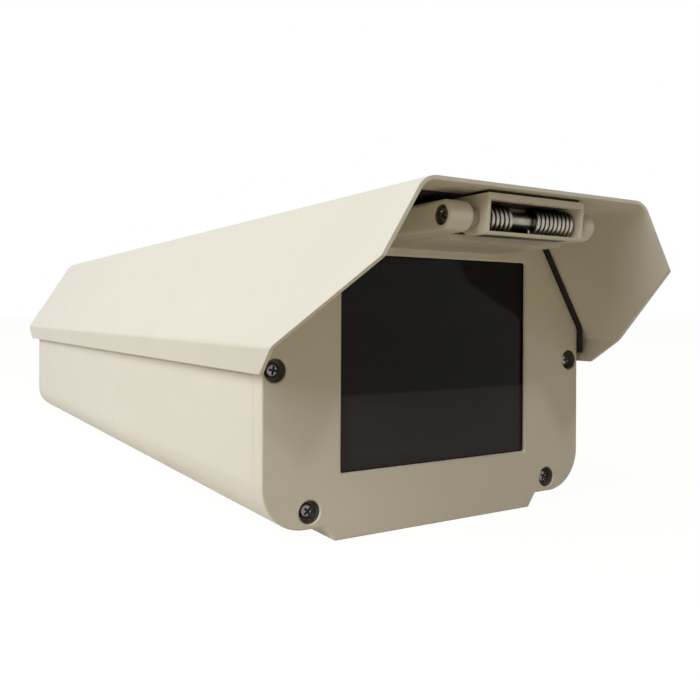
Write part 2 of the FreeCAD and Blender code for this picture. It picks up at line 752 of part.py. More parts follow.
def hinge_box():
    """Box under the lid that holds the springs, with a rib for its two screws."""
    shell = prism(box_side(), "X", -BOX_HALF, BOX_HALF)
    rib = box_cut((-BOX_HALF, PIN_BACK + BOX_REAR - BOX_WALL, BOX_TOP - BOX_RIB_BELOW_TOP),
                  (BOX_HALF, PIN_BACK + BOX_RIB_REAR, BOX_TOP))
    shell = fused([shell, rib])
    half = BOX_HALF - BOX_CHEEK
    bore = cylinder(PIN_RADIUS + RUNNING_FIT, "X", -BOX_HALF - SPARE, BOX_HALF + SPARE, PIN_CENTRE)
    threads = [cylinder(BOX_SCREW_RADIUS + THREAD_PLAY, "Z", BOX_TOP - BOX_RIB_BELOW_TOP, BOX_TOP, place)
               for place in box_screw_places()]
    return shell.cut([prism(box_hollow(), "X", -half, half), bore] + threads)


def hinge_box_gasket():
    """Thin black pad between the hinge box and the lid."""
    side = BOX_HALF - BOX_GASKET_SETBACK
    front = PIN_BACK - BOX_FRONT + BOX_GASKET_SETBACK
    rear = PIN_BACK + BOX_RIB_REAR - BOX_GASKET_SETBACK
    pad = box_cut((-side, front, BOX_TOP), (side, rear, LID_UNDERSIDE))
    hole = BOX_SCREW_RADIUS + HOLE_PLAY
    return pad.cut([cylinder(hole, "Z", BOX_TOP, LID_UNDERSIDE, place) for place in box_screw_places()])


def hinge_box_screws():
    """Two countersunk screws through the lid into the box's rib."""
    length = LID_TOP - BOX_TOP + BOX_RIB_BELOW_TOP - BORE_SPARE
    play = THREAD_PLAY
    head = countersunk(BOX_SCREW_RADIUS - play, BOX_SCREW_HEAD - play, LID_WALL)
    shank = Part.makeCylinder(BOX_SCREW_RADIUS - play, length, vector(0, 0, -length))
    screw = fused([head, shank]).cut(cross_recess(BOX_SCREW_HEAD * 0.8, LID_WALL * 0.7))
    return group([screw.translated(vector(x, y, LID_TOP)) for x, y in box_screw_places()])


def spring_start():
    """Distance from the middle to the outer end of each spring's coil."""
    return BOX_HALF - BOX_CHEEK - SPRING_FROM_CHEEK - SPRING_WIRE


def spring_turns(sign):
    return LEFT_SPRING_TURNS if sign < 0 else RIGHT_SPRING_TURNS


def anchor_x(sign):
    """Distance from the middle to a spring's inner end, where it enters the pin."""
    return spring_start() - spring_turns(sign) * SPRING_PITCH


def hinge_pin():
    """Bright pin with a threaded hole in each end and a cross hole for each spring's inner end."""
    pin = cylinder(PIN_RADIUS, "X", -PIN_END, PIN_END, PIN_CENTRE)
    bore = PIN_SCREW_RADIUS + THREAD_PLAY
    tools = []
    for sign in (-1, 1):
        depth = PIN_SCREW_LENGTH + BORE_SPARE - (arm_outer(sign) - ARM_SEAT_DEPTH - PIN_END)
        start, end = sorted((sign * (PIN_END - depth), sign * (PIN_END + SPARE)))
        tools.append(cylinder(bore, "X", start, end, PIN_CENTRE))
        place = vector(sign * anchor_x(sign), PIN_BACK, PIN_Z)
        hole = Part.makeCylinder(SPRING_WIRE + HOLE_PLAY, PIN_RADIUS + SPARE)
        tools.append(aimed(hole, place, anchor_direction(sign)))
    return pin.cut(tools)


def anchor_direction(sign):
    """Direction from the pin's axis to the inner end of a coil."""
    angle = 2 * math.pi * spring_turns(sign)
    return vector(0, -math.sin(angle), math.cos(angle))


def coil_points(turns):
    """Corners of the coil's wire, wound about Z from z = 0 upwards."""
    points = []
    for k in range(int(turns * COIL_STEPS) + 1):
        angle = 2 * math.pi * k / COIL_STEPS
        height = SPRING_PITCH * k / COIL_STEPS
        points.append(vector(SPRING_RADIUS * math.cos(angle), -SPRING_RADIUS * math.sin(angle), height))
    return points


def torsion_spring(turns):
    """Spring wound about Z. Its straight leg, at the start of the wire, bears on the box's rear wall."""
    coil = coil_points(turns)
    foot = coil[0] + vector(0, SPRING_LEG, 0)
    angles = [2 * math.pi * (k + 0.5) / WIRE_SIDES for k in range(WIRE_SIDES)]
    corners = [foot + vector(SPRING_WIRE * math.cos(a), 0, SPRING_WIRE * math.sin(a)) for a in angles]
    section = Part.makePolygon(corners + corners[:1])
    return Part.makePolygon([foot] + coil).makePipeShell([section], True, False, MITRED_CORNERS)


def spring(sign):
    """A torsion spring in place: its coil starts at the box's cheek and winds to the middle."""
    shape = torsion_spring(spring_turns(sign))
    turn = FreeCAD.Rotation(vector(0, 0, 1), vector(-1, 0, 0))
    shape.Placement = FreeCAD.Placement(vector(spring_start(), PIN_BACK, PIN_Z), turn)
    if sign < 0:
        shape = shape.mirror(vector(0, 0, 0), AXES["X"])
    return shape


def pin_spacer(sign):
    """Plastic ring between the box and an arm."""
    start, end = sorted((sign * (BOX_HALF + SPACER_PLAY), sign * (ARM_INNER - SPACER_PLAY)))
    return ring(SPACER_RADIUS, PIN_RADIUS + RUNNING_FIT, "X", start, end, PIN_CENTRE)


def pin_screw(sign):
    """Recessed screw in an arm's outer face, threaded into the pin."""
    screw = pan_screw(PIN_SCREW_HEAD, PIN_SCREW_HEAD_HEIGHT, PIN_SCREW_RADIUS, PIN_SCREW_LENGTH)
    place = vector(sign * (arm_outer(sign) - ARM_SEAT_DEPTH), PIN_BACK, PIN_Z)
    return aimed(screw, place, AXES["X"] * sign)


# Captive lid screws

def lid_screw(x):
    seat = LID_TOP + LID_SCREW_WASHER
    length = seat - (PLATE_TOP - LID_SCREW_ENGAGED)
    screw = pan_screw(LID_SCREW_HEAD, LID_SCREW_HEAD_HEIGHT, LID_SCREW_RADIUS, length)
    return screw.translated(vector(x, LID_SCREW_BACK, seat))


def lid_screw_washer(x):
    bore = LID_SCREW_RADIUS + LID_SCREW_PLAY
    return ring(WASHER_RADIUS, bore, "Z", LID_TOP, LID_TOP + LID_SCREW_WASHER, (x, LID_SCREW_BACK))


def lid_screw_clip(x):
    """Ring that keeps a loosened screw in the lid."""
    top = LID_UNDERSIDE - SPACER_PLAY
    return ring(CLIP_RADIUS, LID_SCREW_RADIUS, "Z", top - CLIP_THICK, top, (x, LID_SCREW_BACK))


# Tray

def camera_tray():
    """Folded tray on the rails, with a slot for the camera screw."""
    folded_top = RAIL_TOP + TRAY_EDGE_HEIGHT + 2 * TRAY_BEND
    outside = rectangle(-TRAY_HALF, RAIL_TOP, TRAY_HALF, folded_top, TRAY_BEND)
    shape = prism(outside, "Y", TRAY_START, TRAY_END)
    hollow = prism(inset(outside, TRAY_THICK), "Y", TRAY_START - SPARE, TRAY_END + SPARE)
    above = box_cut((-2 * TRAY_HALF, TRAY_START - SPARE, RAIL_TOP + TRAY_EDGE_HEIGHT),
                    (2 * TRAY_HALF, TRAY_END + SPARE, LID_TOP))
    half = TRAY_SLOT_LENGTH / 2
    width = CAMERA_SCREW_RADIUS + HOLE_PLAY
    slot = prism(rectangle(-width, CAMERA_SCREW_BACK - half, width, CAMERA_SCREW_BACK + half, width),
                 "Z", RAIL_TOP - SPARE, TRAY_TOP + SPARE)
    holes = [cylinder(SMALL_SCREW_RADIUS + HOLE_PLAY, "Z", RAIL_TOP - SPARE, TRAY_TOP + SPARE, place)
             for place in tray_screw_places()]
    return shape.cut([hollow, above, slot] + holes)


def tray_screws():
    screw = pan_screw(SMALL_SCREW_HEAD, SMALL_SCREW_HEAD_HEIGHT, SMALL_SCREW_RADIUS, SMALL_SCREW_LENGTH)
    return group([screw.translated(vector(x, y, TRAY_TOP)) for x, y in tray_screw_places()])


def camera_screw():
    """Knurled screw that holds a camera on the tray from below."""
    top = RAIL_TOP - CAMERA_WASHER
    low = top - CAMERA_KNOB_HEIGHT
    centre = (0, CAMERA_SCREW_BACK)
    flutes = []
    for k in range(CAMERA_KNOB_FLUTES):
        angle = 2 * math.pi * k / CAMERA_KNOB_FLUTES
        x, y = CAMERA_KNOB_RADIUS * math.cos(angle), CAMERA_KNOB_RADIUS * math.sin(angle)
        flutes.append(cylinder(FLUTE_RADIUS, "Z", low - SPARE, top + SPARE, (x, CAMERA_SCREW_BACK + y)))
    knob = cylinder(CAMERA_KNOB_RADIUS, "Z", low, top, centre).cut(flutes)
    shank = cylinder(CAMERA_SCREW_RADIUS, "Z", top - SPARE, top + CAMERA_SCREW_LENGTH, centre)
    return fused([knob, shank])


def camera_washer():
    bore = CAMERA_SCREW_RADIUS + HOLE_PLAY
    return ring(CAMERA_KNOB_RADIUS, bore, "Z", RAIL_TOP - CAMERA_WASHER, RAIL_TOP, (0, CAMERA_SCREW_BACK))


def nut_strip():
    """Threaded strip on the foot's floor that takes the bracket's bolts."""
    half_y = BRACKET_SPACING_Y / 2 + NUT_STRIP_MARGIN
    strip = box_cut((-NUT_STRIP_HALF, REAR / 2 - half_y, BODY_WALL),
                    (NUT_STRIP_HALF, REAR / 2 + half_y, BODY_WALL + NUT_STRIP_THICK))
    return strip.cut([cylinder(BRACKET_BOLT_RADIUS, "Z", 0.0, 2 * BODY_WALL + NUT_STRIP_THICK, place)
                      for place in bracket_places()])


# Cable glands, drawn along +Z with the plate's outer face at z = 0

def gland_places():
    first = -GLAND_SPACING * (GLAND_COUNT - 1) / 2
    return [first + GLAND_SPACING * k for k in range(GLAND_COUNT)]


def gland_body():
    inner = -PLATE_THICK - GLAND_INSIDE
    sleeve = GLAND_THREAD - THREAD_PLAY * 4
    shape = fused([hexagon(GLAND_HEX, 0.0, GLAND_FLANGE),
                   Part.makeCylinder(GLAND_THREAD, PLATE_THICK + GLAND_INSIDE, vector(0, 0, inner)),
                   Part.makeCylinder(sleeve, GLAND_SLEEVE, vector(0, 0, GLAND_FLANGE))])
    length = PLATE_THICK + GLAND_INSIDE + GLAND_FLANGE + GLAND_SLEEVE
    return shape.cut(Part.makeCylinder(GLAND_BORE, length, vector(0, 0, inner)))


def gland_locknut():
    nut = hexagon(GLAND_HEX, -PLATE_THICK - LOCKNUT_THICK, -PLATE_THICK)
    bore = GLAND_THREAD + THREAD_PLAY
    return nut.cut(Part.makeCylinder(bore, 2 * PLATE_THICK, vector(0, 0, -2 * PLATE_THICK)))


def gland_dome():
    """Dome nut: a hexagonal skirt and a rounded nose with the cable's mouth."""
    start, end = GLAND_FLANGE, GLAND_FLANGE + GLAND_DOME_LENGTH
    grip = hexagon(GLAND_HEX, start, start + GLAND_DOME_LENGTH / 2)
    crown = 2 * GLAND_DOME_WALL
    nose = turned([(0, start, 0), (GLAND_DOME_RADIUS, start, 0), (GLAND_DOME_RADIUS, end - crown, 0),
                   (GLAND_DOME_RADIUS - GLAND_DOME_WALL, end, 0), (0, end, 0)])
    inner = GLAND_THREAD + THREAD_PLAY
    hollow = turned([(0, start - SPARE, 0), (inner, start - SPARE, 0), (inner, end - GLAND_DOME_WALL, 0),
                     (0, end - GLAND_DOME_WALL, 0)])
    mouth = Part.makeCylinder(GLAND_MOUTH, GLAND_DOME_LENGTH + SPARE, vector(0, 0, start))
    return fused([grip, nose]).cut([hollow, mouth])


def gland_seal():
    """Rubber insert that grips the cable inside the dome nut."""
    start = GLAND_FLANGE + GLAND_SLEEVE
    end = GLAND_FLANGE + GLAND_DOME_LENGTH - GLAND_DOME_WALL
    outer = GLAND_THREAD - THREAD_PLAY * 4
    seal = Part.makeCylinder(outer, end - start, vector(0, 0, start))
    return seal.cut(Part.makeCylinder(CABLE_RADIUS, end - start, vector(0, 0, start)))


GLAND_PIECES = {
    "gland_body": gland_body,
    "gland_locknut": gland_locknut,
    "gland_dome_nut": gland_dome,
    "gland_seal": gland_seal,
}


def save(name, shape):
    """Write one piece, moved so that the whole object is centred on the row's origin."""
    shape = shape.copy()
    shape.translate(vector(0, ROW_SHIFT, 0))
    shape.exportStep(os.path.join("parts", name + ".step"))


def single_pieces():
    return {
        "body_trough": body_trough(),
        "front_plate": front_plate(),
        "rear_plate": rear_plate(),
        "front_gasket": end_gasket(PLATE_THICK - END_GASKET),
        "rear_gasket": end_gasket(TROUGH_END),
        "front_plate_screws": plate_screws(0.0, 1),
        "rear_plate_screws": plate_screws(REAR, -1),
        "front_arch_seal": arch_seal(-ARCH_SEAL_PROUD),
        "rear_arch_seal": arch_seal(REAR + ARCH_SEAL_PROUD - ARCH_SEAL_WIDTH),
        "window_glass": window_glass(),
        "window_gasket": window_gasket(),
        "window_retainer": window_retainer(),
        "retainer_screws": retainer_screws(),
        "lid_cover": lid_cover(),
        "hinge_box": hinge_box(),
        "hinge_box_gasket": hinge_box_gasket(),
        "hinge_box_screws": hinge_box_screws(),
        "hinge_pin": hinge_pin(),
        "camera_tray": camera_tray(),
        "tray_screws": tray_screws(),
        "camera_screw": camera_screw(),
        "camera_washer": camera_washer(),
        "nut_strip": nut_strip(),
    }


def sided_pieces(side, sign):
    x = sign * lid_screw_x()
    return {
        "side_seal_" + side: side_seal(sign),
        "spring_" + side: spring(sign),
        "pin_spacer_" + side: pin_spacer(sign),
        "pin_screw_" + side: pin_screw(sign),
        "lid_screw_" + side: lid_screw(x),
        "lid_screw_washer_" + side: lid_screw_washer(x),
        "lid_screw_clip_" + side: lid_screw_clip(x),
    }


def main():
    os.makedirs("parts", exist_ok=True)
    pieces = single_pieces()
    pieces.update(sided_pieces("left", -1))
    pieces.update(sided_pieces("right", 1))
    for number, x in enumerate(gland_places(), start=1):
        for name, build in GLAND_PIECES.items():
            pieces[name + "_" + str(number)] = aimed(build(), vector(x, REAR, GLAND_Z), AXES["Y"])
    for name, shape in pieces.items():
        save(name, shape)


main()
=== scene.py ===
import json
import math

import bmesh
import bpy
from mathutils import Matrix, Vector


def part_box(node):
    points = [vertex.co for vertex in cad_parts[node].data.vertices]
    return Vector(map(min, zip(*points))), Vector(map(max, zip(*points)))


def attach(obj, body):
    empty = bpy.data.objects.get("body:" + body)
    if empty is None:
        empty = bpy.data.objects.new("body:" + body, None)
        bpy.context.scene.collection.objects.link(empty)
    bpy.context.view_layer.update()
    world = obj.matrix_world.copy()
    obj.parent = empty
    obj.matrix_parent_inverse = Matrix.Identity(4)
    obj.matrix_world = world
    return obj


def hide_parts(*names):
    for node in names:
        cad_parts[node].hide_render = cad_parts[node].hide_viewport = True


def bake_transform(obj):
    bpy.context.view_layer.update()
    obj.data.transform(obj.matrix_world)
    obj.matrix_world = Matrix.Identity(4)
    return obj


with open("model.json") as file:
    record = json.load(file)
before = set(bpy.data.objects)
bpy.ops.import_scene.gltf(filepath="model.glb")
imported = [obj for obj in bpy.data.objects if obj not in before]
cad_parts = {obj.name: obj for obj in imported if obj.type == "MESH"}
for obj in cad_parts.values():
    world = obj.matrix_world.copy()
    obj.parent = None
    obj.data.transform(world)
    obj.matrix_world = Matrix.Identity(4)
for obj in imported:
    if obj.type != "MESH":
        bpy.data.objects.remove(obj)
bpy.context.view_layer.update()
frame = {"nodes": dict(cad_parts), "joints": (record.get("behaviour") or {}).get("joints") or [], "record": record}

# The CAD model's nodes by name
NODES = frame["nodes"]

# Camera of the photograph, for a 700 x 700 image
CAMERA_PLACE = (-0.2064, -0.4700, 0.0894)
CAMERA_YAW = -31.82
CAMERA_ROLL = 0.28
CAMERA_LENS = 39.04
CAMERA_SENSOR = 36.0
CAMERA_SHIFT = (-0.00098, -0.0492)

# Lights and stage, in metres, degrees and watts
TOP_DIRECTION = (-0.05, -0.616, 0.788)
TOP_STRENGTH = 0.34
TOP_ANGLE = 5.0
SIDE_PLACE = (-1.5, -0.40, 1.1)
SIDE_SIZE = 1.4
SIDE_POWER = 27.5
SIDE_COLOUR = (0.96, 1.0, 1.06)
WORLD_COLOUR = (1.0, 0.85, 0.63)
WORLD_STRENGTH = 0.17
FLOOR_COLOURS = (0.60, 0.53, 0.41), (0.58, 0.51, 0.39)
FLOOR_GLOW = 1.10
FLOOR_GLOW_SHARE = 0.88

# Colours, linear
CREAM = (0.800, 0.768, 0.655)
CREAM_DARKER = (0.778, 0.744, 0.628)
CAST_CREAM = (0.790, 0.750, 0.625)
CAST_DARKER = (0.765, 0.722, 0.595)
# Painted shade inside the hinge box, near black
BOX_SHADE = (0.020, 0.019, 0.018)
# Painted shade for the screws' seats in the plates and arms
SEAT_SHADE = (0.080, 0.070, 0.054)

# All the sizes below are in metres

# Hinge: the pin's axis and the springs that are wound round it
HINGE_AXIS = Vector(frame["joints"][0]["pos_m"])
SPRING_RADIUS = 0.0048
SPRING_WIRE = 0.00075
SPRING_TURNS = {"left": 5.5, "right": 8.5}

# Hinge box: walls, then places from the pin's axis, then the two bends of its rear wall
BOX_WALL = 0.0015
BOX_CHEEK = 0.0013
BOX_FLOOR = 0.0007
BOX_LIP = 0.0004
BOX_ROUND = 0.0004
BOX_RIB = 0.0056
BOX_BORE = 0.00306
BOX_REAR = 0.0078
BOX_CEILING = 0.0058
BOX_OUTER_BEND = 0.0064
BOX_INNER_BEND = 0.0049

# Rubber sheet beside the hinge box, which also stands in as painted shade under the lid
PAD_LEFT = -0.048
PAD_PAST_BOX = 0.006
PAD_SETBACK = 0.0135
PAD_SEAL_GAP = 0.0012
PAD_CORNER = 0.003

# Pan-head screws: the way that the heads face, the head's height,
# and the thread's radius as a share of the head's
PAN_SCREWS = {
    "front_plate_screws": ((0, -1, 0), 0.0022, 0.53),
    "rear_plate_screws": ((0, 1, 0), 0.0022, 0.53),
    "pin_screw_left": ((-1, 0, 0), 0.0018, 0.57),
    "pin_screw_right": ((1, 0, 0), 0.0018, 0.57),
    "lid_screw_left": ((0, 0, 1), 0.0034, 0.54),
    "lid_screw_right": ((0, 0, 1), 0.0034, 0.54),
}
THREAD_DEPTH = 0.14
THREAD_PITCH = 0.32
COUNTERSINK = 0.0015

# Cable glands
DOME_MOUTH = 0.0052
DOME_WALL = 0.0018
DOME_STEPS = 96
DOME_RIB = 0.00035
GLAND_BORE = 0.0056
GLAND_THREAD = 0.008
GLAND_PITCH = 0.0015
GLAND_FLANGE = 0.004
GLAND_CHAMFER = 0.0006
CABLE_RADIUS = 0.004

# Painted shade in the seats of screws, as a radius and a reach past the screws' ends;
# painted shade inside the hinge box round the springs, and painted light on the pane's lower part
PLATE_SEAT_SHADE = (0.0048, 0.0014)
PIN_SEAT_SHADE = (0.0038, 0.0004)
BOX_SHADE_CENTRE = HINGE_AXIS - Vector((0.0016, 0.0, 0.0))
BOX_SHADE_RADIUS = 0.0078
BOX_SHADE_REACH = 0.0211
LIT_PANE_HEIGHTS = (0.0562, 0.0578)


def mesh_object(name, bm, angle=35.0):
    """Object from a bmesh, smooth but for edges sharper than the angle."""
    bmesh.ops.recalc_face_normals(bm, faces=bm.faces)
    mesh = bpy.data.meshes.new(name)
    bm.to_mesh(mesh)
    bm.free()
    mesh.shade_smooth()
    mesh.set_sharp_from_angle(angle=math.radians(angle))
    obj = bpy.data.objects.new(name, mesh)
    bpy.context.scene.collection.objects.link(obj)
    return obj


def aim(direction):
    """Rotation that turns +Z to a direction."""
    return Vector((0.0, 0.0, 1.0)).rotation_difference(Vector(direction)).to_matrix().to_4x4()


def polar(radius, angle, height):
    """Point at a radius, an angle and a height about Z."""
    return Vector((radius * math.cos(angle), radius * math.sin(angle), height))


def bridge(bm, low, high):
    """Faces between two rings of vertices; a ring of one vertex is a point."""
    steps = max(len(low), len(high))
    for k in range(steps):
        after = (k + 1) % steps
        corners = [low[k % len(low)], low[after % len(low)],
                   high[after % len(high)], high[k % len(high)]]
        bm.faces.new(list(dict.fromkeys(corners)))


def loft(bm, rings):
    """Skin over rings of vertices, closed at both ends."""
    for low, high in zip(rings, rings[1:]):
        bridge(bm, low, high)
    for ring in (rings[0], rings[-1]):
        bm.faces.new(ring)


def lathe(bm, profile, place, steps=48, limit=None):
    """Turn a profile of (radius, height) about the place's own Z.

    The limit gives the largest radius at an angle, and so cuts flats such as a hexagon's."""
    rings = []
    for radius, height in profile:
        ring = []
        for k in range(steps if radius > 0.0 else 1):
            angle = math.tau * k / steps
            reach = min(radius, limit(angle)) if limit else radius
            ring.append(bm.verts.new(place @ polar(reach, angle, height)))
        rings.append(ring)
    for low, high in zip(rings, rings[1:]):
        bridge(bm, low, high)


def hexagonal(across):
    """Limit for a hexagon of a size across its flats."""
    def reach(angle):
        return across / 2.0 / math.cos((angle + math.pi / 6) % (math.pi / 3) - math.pi / 6)
    return reach


def thread(bm, radius, depth, pitch, start, end, place, steps=24, rows=6):
    """Screw thread about the place's own Z, from one height to another."""
    count = max(int(abs(end - start) / pitch * rows), 2)
    rings = []
    for j in range(count + 1):
        height = start + (end - start) * j / count
        ring = []
        for k in range(steps):
            phase = (height / pitch - k / steps) % 1.0
            reach = radius - depth * abs(2.0 * phase - 1.0)
            ring.append(bm.verts.new(place @ polar(reach, math.tau * k / steps, height)))
        rings.append(ring)
    loft(bm, rings)


def tube(bm, points, radius, sides=12):
    """Round wire through points."""
    across = Vector((1.0, 0.0, 0.0))
    turns = [math.tau * k / sides for k in range(sides)]
    rings = []
    for i, point in enumerate(points):
        before, after = points[max(i - 1, 0)], points[min(i + 1, len(points) - 1)]
        along = (after - before).normalized()
        across = (across - along * across.dot(along)).normalized()
        other = along.cross(across)
        spokes = [across * math.cos(a) + other * math.sin(a) for a in turns]
        rings.append([bm.verts.new(point + spoke * radius) for spoke in spokes])
    loft(bm, rings)


def prism_across(name, outline, low, high):
    """Object with a side outline of (y, z) points, from one x to another."""
    bm = bmesh.new()
    ends = [[bm.verts.new((x, y, z)) for y, z in outline] for x in (low, high)]
    bridge(bm, *ends)
    for end in ends:
        bm.faces.new(end)
    return mesh_object(name, bm)


def arc(y, z, radius, start, end, steps=10):
    """Points of a side outline's arc, between two angles in degrees from +y towards +z."""
    turns = [math.radians(start + (end - start) * k / steps) for k in range(steps + 1)]
    return [(y + radius * math.cos(a), z + radius * math.sin(a)) for a in turns]


def carved(body, cutters, round_off=0.0):
    """The body's mesh without the cutters' volumes, its edges rounded; the objects are used up."""
    for cutter in cutters:
        cut = body.modifiers.new("cut", "BOOLEAN")
        cut.object = cutter
        cut.solver = "EXACT"
    if round_off:
        bevel = body.modifiers.new("bevel", "BEVEL")
        bevel.width = round_off
        bevel.segments = 3
        bevel.angle_limit = math.radians(40.0)
    graph = bpy.context.evaluated_depsgraph_get()
    mesh = bpy.data.meshes.new_from_object(body.evaluated_get(graph))
    for obj in [body] + cutters:
        bpy.data.objects.remove(obj)
    return mesh


def cross_cutter(reach, depth):
    """Tapered cross of a screwdriver, point down, with its wide end above z = 0."""
    bm = bmesh.new()
    rings = []
    for height, share in ((0.4 * depth, 1.1), (0.0, 1.0), (-0.7 * depth, 0.78), (-depth, 0.5)):
        wide, thin = reach * share, reach * 0.27 * (0.5 + 0.5 * share)
        corner = [(wide, -thin), (wide, thin), (thin, thin)]
        ring = []
        for quarter in range(4):
            turn = Matrix.Rotation(math.pi / 2 * quarter, 3, "Z")
            ring += [bm.verts.new(turn @ Vector((x, y, height))) for x, y in corner]
        rings.append(ring)
    loft(bm, rings)
    return mesh_object("cross", bm)


def recessed(body, top, reach, depth):
    """Mesh of a screw's head with a cross recess, whose faces take the second material.

    The recess's faces are told by their place, with a little to spare, and by their slope."""
    cutter = cross_cutter(reach, depth)
    cutter.location.z = top
    bpy.context.view_layer.update()
    mesh = carved(body, [cutter])
    for face in mesh.polygons:
        x, y, z = face.center
        inside = math.hypot(x, y) < reach * 1.02 and max(abs(x), abs(y)) < reach
        sunk = face.normal.z < 0.6 or z < top - 0.6 * depth
        if inside and sunk and z > top - depth * 1.05:
            face.material_index = 1
    return mesh


def pan_head(radius, height):
    """Pan head with a cross recess, its underside at z = 0."""
    bm = bmesh.new()
    rim, flat = 0.38, 0.12
    profile = [(0.0, 0.0), (radius * 0.94, 0.0), (radius, height * 0.08), (radius, height * rim)]
    for degrees in (80, 62, 45, 30, 15):
        angle = math.radians(degrees)
        profile.append((radius * (flat + (1.0 - flat) * math.sin(angle)),
                        height * (rim + (1.0 - rim) * math.cos(angle))))
    profile.append((0.0, height))
    lathe(bm, profile, Matrix.Identity(4), 40)
    return recessed(mesh_object("head", bm), height, radius * 0.62, height * 0.45)


def stamp(bm, mesh, place):
    """Add a copy of a mesh in another place."""
    copy = mesh.copy()
    copy.transform(place)
    bm.from_mesh(copy)
    bpy.data.meshes.remove(copy)


# Materials

class Material:
    """A node material with short ways to add procedural detail."""

    def __init__(self, name):
        self.data = bpy.data.materials.new(name)
        self.data.use_nodes = True
        self.nodes = self.data.node_tree.nodes
        self.links = self.data.node_tree.links
        self.shader = self.nodes["Principled BSDF"]
        self.place = self.add("ShaderNodeTexCoord").outputs["Object"]

    def add(self, kind, **values):
        """New node with its settings."""
        node = self.nodes.new(kind)
        for key, value in values.items():
            setattr(node, key, value)
        return node

    def set(self, **values):
        """Constant values on the shader's sockets."""
        for key, value in values.items():
            self.shader.inputs[key.replace("_", " ")].default_value = value

    def noise(self, size, detail=4.0, roughness=0.5, stretch=(1, 1, 1)):
        """Noise with features of a size in metres."""
        mapping = self.add("ShaderNodeMapping")
        mapping.inputs["Scale"].default_value = stretch
        self.links.new(self.place, mapping.inputs["Vector"])
        node = self.add("ShaderNodeTexNoise")
        node.inputs["Scale"].default_value = 1.0 / size
        node.inputs["Detail"].default_value = detail
        node.inputs["Roughness"].default_value = roughness
        self.links.new(mapping.outputs["Vector"], node.inputs["Vector"])
        return node.outputs["Fac"]

    def span(self, value, low, high, start=0.3, end=0.7):
        """A value brought from one range to another."""
        node = self.add("ShaderNodeMapRange")
        node.inputs["From Min"].default_value = start
        node.inputs["From Max"].default_value = end
        node.inputs["To Min"].default_value = low
        node.inputs["To Max"].default_value = high
        self.links.new(value, node.inputs["Value"])
        return node.outputs["Result"]

    def blend(self, factor, first, second):
        """Colour between two others."""
        node = self.add("ShaderNodeMix", data_type="RGBA")
        self.links.new(factor, node.inputs["Factor"])
        for socket, value in ((node.inputs[6], first), (node.inputs[7], second)):
            if isinstance(value, tuple):
                socket.default_value = value + (1.0,)
            else:
                self.links.new(value, socket)
        return node.outputs[2]

    def times(self, first, second):
        """Product of two values."""
        node = self.add("ShaderNodeMath", operation="MULTIPLY")
        self.links.new(first, node.inputs[0])
        self.links.new(second, node.inputs[1])
        return node.outputs["Value"]

    def vector(self, operation, first, second=None):
        """Vector maths on one vector, alone or with a constant one."""
        node = self.add("ShaderNodeVectorMath", operation=operation)
        self.links.new(first, node.inputs[0])
        if second:
            node.inputs[1].default_value = second
        return node.outputs["Value" if operation == "LENGTH" else "Vector"]

    def parts(self, vector):
        """The three components of a vector."""
        node = self.add("ShaderNodeSeparateXYZ")
        self.links.new(vector, node.inputs[0])
        return node.outputs

    def within(self, centre, axis, radius, reach):
        """1 in a round hollow along an axis, to its reach each way from its centre, else 0."""
        away = self.vector("SUBTRACT", self.place, centre)
        along = self.add("ShaderNodeMath", operation="COMPARE")
        along.inputs[1].default_value = 0.0
        along.inputs[2].default_value = reach
        self.links.new(self.parts(away)[axis], along.inputs[0])
        flat = self.vector("MULTIPLY", away, [float(i != axis) for i in range(3)])
        near = self.add("ShaderNodeMath", operation="LESS_THAN")
        near.inputs[1].default_value = radius
        self.links.new(self.vector("LENGTH", flat), near.inputs[0])
        return self.times(along.outputs["Value"], near.outputs["Value"])

    def bump(self, height, distance, strength=1.0, under=None):
        """Small relief in the shading, on top of another's if there is one."""
        node = self.add("ShaderNodeBump")
        node.inputs["Distance"].default_value = distance
        node.inputs["Strength"].default_value = strength
        self.links.new(height, node.inputs["Height"])
        if under:
            self.links.new(under, node.inputs["Normal"])
        return node.outputs["Normal"]

    def edges(self, radius):
        """Rounding of sharp edges in the shading."""
        node = self.add("ShaderNodeBevel", samples=4)
        node.inputs["Radius"].default_value = radius
        return node.outputs["Normal"]

    def feed(self, socket, value):
        """Join a value to one of the shader's sockets."""
        self.links.new(value, self.shader.inputs[socket])


def painted(name, light, dark, roughness, grain, edge=0.0005, shaded_hollows=(), shade_colour=SEAT_SHADE):
    """Powder coat: fine orange peel, faint mottling and a slightly uneven gloss.

    The shaded hollows are round places whose coat is painted darker, towards the shade colour, as painted shade."""
    m = Material(name)
    tone = m.span(m.noise(0.05, 5.0, 0.6), 0.0, 1.0)
    speck = m.span(m.noise(0.0012, 2.0), 0.0, 0.35)
    colour = m.blend(speck, m.blend(tone, light, dark), dark)
    shade_mottle = m.span(m.noise(0.003, 4.0, 0.6), 0.82, 1.0) if shaded_hollows else None
    # Painted shade: each hollow's coat is blended to the shade colour, broken up a little by noise
    for hollow in shaded_hollows:
        colour = m.blend(m.times(m.within(*hollow), shade_mottle), colour, shade_colour)
    m.feed("Base Color", colour)
    m.feed("Roughness", m.span(m.noise(0.02, 4.0), roughness - 0.05, roughness + 0.06))
    peel = m.noise(grain, 3.0, 0.55)
    waves = m.noise(0.012, 2.0)
    m.feed("Normal", m.bump(peel, 0.00006, 0.5, m.bump(waves, 0.0002, 0.25, m.edges(edge))))
    m.set(IOR=1.5, Coat_Weight=0.08, Coat_Roughness=0.35)
    return m.data


def rubber(name):
    """Black rubber with a dry bloom and a fine grain."""
    m = Material(name)
    bloom = m.span(m.noise(0.008, 5.0, 0.6), 0.0, 1.0)
    m.feed("Base Color", m.blend(bloom, (0.012, 0.012, 0.011), (0.022, 0.021, 0.019)))
    m.feed("Roughness", m.span(m.noise(0.003), 0.6, 0.8))
    m.feed("Normal", m.bump(m.noise(0.0005, 3.0), 0.00004, 0.6))
    m.set(Specular_IOR_Level=0.3)
    return m.data


